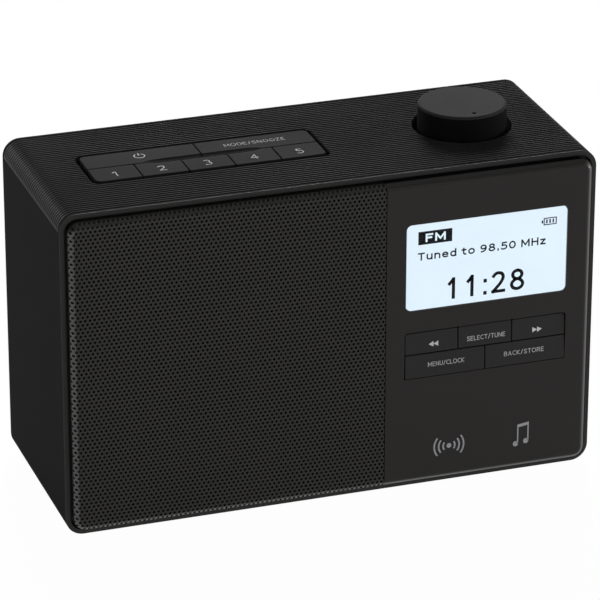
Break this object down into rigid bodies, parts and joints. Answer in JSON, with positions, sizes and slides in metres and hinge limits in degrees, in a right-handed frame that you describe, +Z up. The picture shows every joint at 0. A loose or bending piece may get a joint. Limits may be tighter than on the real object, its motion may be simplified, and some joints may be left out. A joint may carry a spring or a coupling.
{
  "type": "tabletop radio",
  "caption": "Portable tabletop radio with a ribbed casing, perforated speaker grille, lit display, press keys, volume knob and a folding telescopic aerial.",
  "frame": {"origin": "on the table under the middle of the whole object, folded aerial included", "axes": "+X to the right as seen from the front, +Y to the back, +Z up"},
  "size_m": [0.21, 0.0912, 0.1398],
  "materials": {
    "casing_black": "satin moulded plastic, fine grain",
    "panel_black": "satin moulded plastic",
    "panel_key": "satin moulded plastic",
    "top_key": "soft satin plastic",
    "knob_grey": "satin plastic, darker side",
    "frame_black": "matt moulded plastic",
    "inner_plastic": "moulded plastic",
    "grille_metal": "perforated sheet with a satin coat",
    "grille_cloth": "thin acoustic cloth",
    "display_window": "clear window, lit from behind",
    "lcd_frame": "lit display and its white frame",
    "board_green": "circuit board",
    "switch_grey": "tact switches",
    "screw_steel": "plated steel",
    "foot_rubber": "soft rubber",
    "gasket_rubber": "foam and rubber",
    "basket_steel": "pressed steel",
    "cone_paper": "pressed paper",
    "magnet_ferrite": "ferrite between steel plates",
    "encoder_metal": "tinned steel",
    "ribbon_film": "flat flexible ribbon",
    "lead_sleeve": "insulated leads and their plugs",
    "capacitor_blue": "sleeved aluminium can",
    "socket_black": "moulded socket",
    "battery_wrap": "shrink sleeve round two cells",
    "aerial_chrome": "chromed brass tube"
  },
  "bodies": {
    "radio": {"casing_sleeve": "casing_black", "rear_cover": "casing_black", "rear_screws": "screw_steel", "feet": "foot_rubber", "front_baffle": "inner_plastic", "speaker_grille": "grille_metal", "grille_cloth": "grille_cloth", "control_panel": "panel_black", "display_lens": "display_window", "lcd_module": "lcd_frame", "front_board": "board_green", "front_switches": "switch_grey", "key_guide": "inner_plastic", "tab_key_pin": "screw_steel", "speaker_gasket": "gasket_rubber", "speaker_basket": "basket_steel", "speaker_surround": "gasket_rubber", "speaker_cone": "cone_paper", "speaker_dust_cap": "cone_paper", "speaker_magnet": "magnet_ferrite", "control_frame": "frame_black", "top_board": "board_green", "top_switches": "switch_grey", "encoder_body": "encoder_metal", "encoder_nut": "screw_steel", "main_board": "board_green", "tuner_shield": "encoder_metal", "capacitors": "capacitor_blue", "headphone_socket": "socket_black", "dc_socket": "socket_black", "front_ribbon": "ribbon_film", "top_ribbon": "ribbon_film", "speaker_leads": "lead_sleeve", "battery_leads": "lead_sleeve", "battery_pack": "battery_wrap", "battery_door": "casing_black", "inner_screws": "screw_steel"},
    "key_power": {"key_power": "top_key"},
    "key_snooze": {"key_snooze": "top_key"},
    "key_preset_1": {"key_preset_1": "top_key"},
    "key_preset_2": {"key_preset_2": "top_key"},
    "key_preset_3": {"key_preset_3": "top_key"},
    "key_preset_4": {"key_preset_4": "top_key"},
    "key_preset_5": {"key_preset_5": "top_key"},
    "key_previous": {"key_previous": "panel_key"},
    "key_select": {"key_select": "panel_key"},
    "key_next": {"key_next": "panel_key"},
    "key_menu": {"key_menu": "panel_key"},
    "key_back": {"key_back": "panel_key"},
    "volume": {"volume_knob": "knob_grey", "encoder_shaft": "encoder_metal"},
    "aerial_base": {"aerial_turret": "casing_black", "aerial_retainer": "screw_steel", "aerial_pin": "screw_steel"},
    "aerial_arm": {"aerial_knuckle": "aerial_chrome", "aerial_tube_1": "aerial_chrome"},
    "aerial_section_2": {"aerial_tube_2": "aerial_chrome"},
    "aerial_section_3": {"aerial_tube_3": "aerial_chrome"},
    "aerial_section_4": {"aerial_tube_4": "aerial_chrome"},
    "aerial_section_5": {"aerial_tube_5": "aerial_chrome"}
  },
  "joints": [
    {"name": "key_power_press", "type": "slide", "parent": "radio", "child": "key_power", "axis": [0, 0, -1], "range_m": [0, 0.0008], "stiffness_N_per_m": 400, "springref_m": -0.002},
    {"name": "key_snooze_press", "type": "slide", "parent": "radio", "child": "key_snooze", "axis": [0, 0, -1], "range_m": [0, 0.0008], "stiffness_N_per_m": 400, "springref_m": -0.002},
    {"name": "key_preset_1_press", "type": "slide", "parent": "radio", "child": "key_preset_1", "axis": [0, 0, -1], "range_m": [0, 0.0008], "stiffness_N_per_m": 400, "springref_m": -0.002},
    {"name": "key_preset_2_press", "type": "slide", "parent": "radio", "child": "key_preset_2", "axis": [0, 0, -1], "range_m": [0, 0.0008], "stiffness_N_per_m": 400, "springref_m": -0.002},
    {"name": "key_preset_3_press", "type": "slide", "parent": "radio", "child": "key_preset_3", "axis": [0, 0, -1], "range_m": [0, 0.0008], "stiffness_N_per_m": 400, "springref_m": -0.002},
    {"name": "key_preset_4_press", "type": "slide", "parent": "radio", "child": "key_preset_4", "axis": [0, 0, -1], "range_m": [0, 0.0008], "stiffness_N_per_m": 400, "springref_m": -0.002},
    {"name": "key_preset_5_press", "type": "slide", "parent": "radio", "child": "key_preset_5", "axis": [0, 0, -1], "range_m": [0, 0.0008], "stiffness_N_per_m": 400, "springref_m": -0.002},
    {"name": "key_previous_press", "type": "slide", "parent": "radio", "child": "key_previous", "axis": [0, 1, 0], "range_m": [0, 0.0008], "stiffness_N_per_m": 400, "springref_m": -0.002},
    {"name": "key_select_press", "type": "slide", "parent": "radio", "child": "key_select", "axis": [0, 1, 0], "range_m": [0, 0.0008], "stiffness_N_per_m": 400, "springref_m": -0.002},
    {"name": "key_next_press", "type": "slide", "parent": "radio", "child": "key_next", "axis": [0, 1, 0], "range_m": [0, 0.0008], "stiffness_N_per_m": 400, "springref_m": -0.002},
    {"name": "key_menu_tip", "type": "hinge", "parent": "radio", "child": "key_menu", "pos_m": [0.06005, -0.0423, 0.0495], "axis": [-1, 0, 0], "range_deg": [0, 4], "stiffness_Nm_per_rad": 0.04, "springref_deg": -5.73},
    {"name": "key_back_tip", "type": "hinge", "parent": "radio", "child": "key_back", "pos_m": [0.06005, -0.0423, 0.0495], "axis": [-1, 0, 0], "range_deg": [0, 4], "stiffness_Nm_per_rad": 0.04, "springref_deg": -5.73},
    {"name": "volume_turn", "type": "hinge", "parent": "radio", "child": "volume", "pos_m": [0.0657, -0.0018, 0.1307], "axis": [0, 0, 1], "continuous": true},
    {"name": "aerial_swivel", "type": "hinge", "parent": "radio", "child": "aerial_base", "pos_m": [0.082, 0.0416, 0.1167], "axis": [0, 1, 0], "range_deg": [0, 180]},
    {"name": "aerial_tilt", "type": "hinge", "parent": "aerial_base", "child": "aerial_arm", "pos_m": [0.082, 0.0416, 0.1167], "axis": [0, 0, -1], "range_deg": [0, 90]},
    {"name": "aerial_slide_2", "type": "slide", "parent": "aerial_arm", "child": "aerial_section_2", "axis": [-1, 0, 0], "range_m": [0, 0.118]},
    {"name": "aerial_slide_3", "type": "slide", "parent": "aerial_section_2", "child": "aerial_section_3", "axis": [-1, 0, 0], "range_m": [0, 0.118]},
    {"name": "aerial_slide_4", "type": "slide", "parent": "aerial_section_3", "child": "aerial_section_4", "axis": [-1, 0, 0], "range_m": [0, 0.118]},
    {"name": "aerial_slide_5", "type": "slide", "parent": "aerial_section_4", "child": "aerial_section_5", "axis": [-1, 0, 0], "range_m": [0, 0.118]}
  ]
}
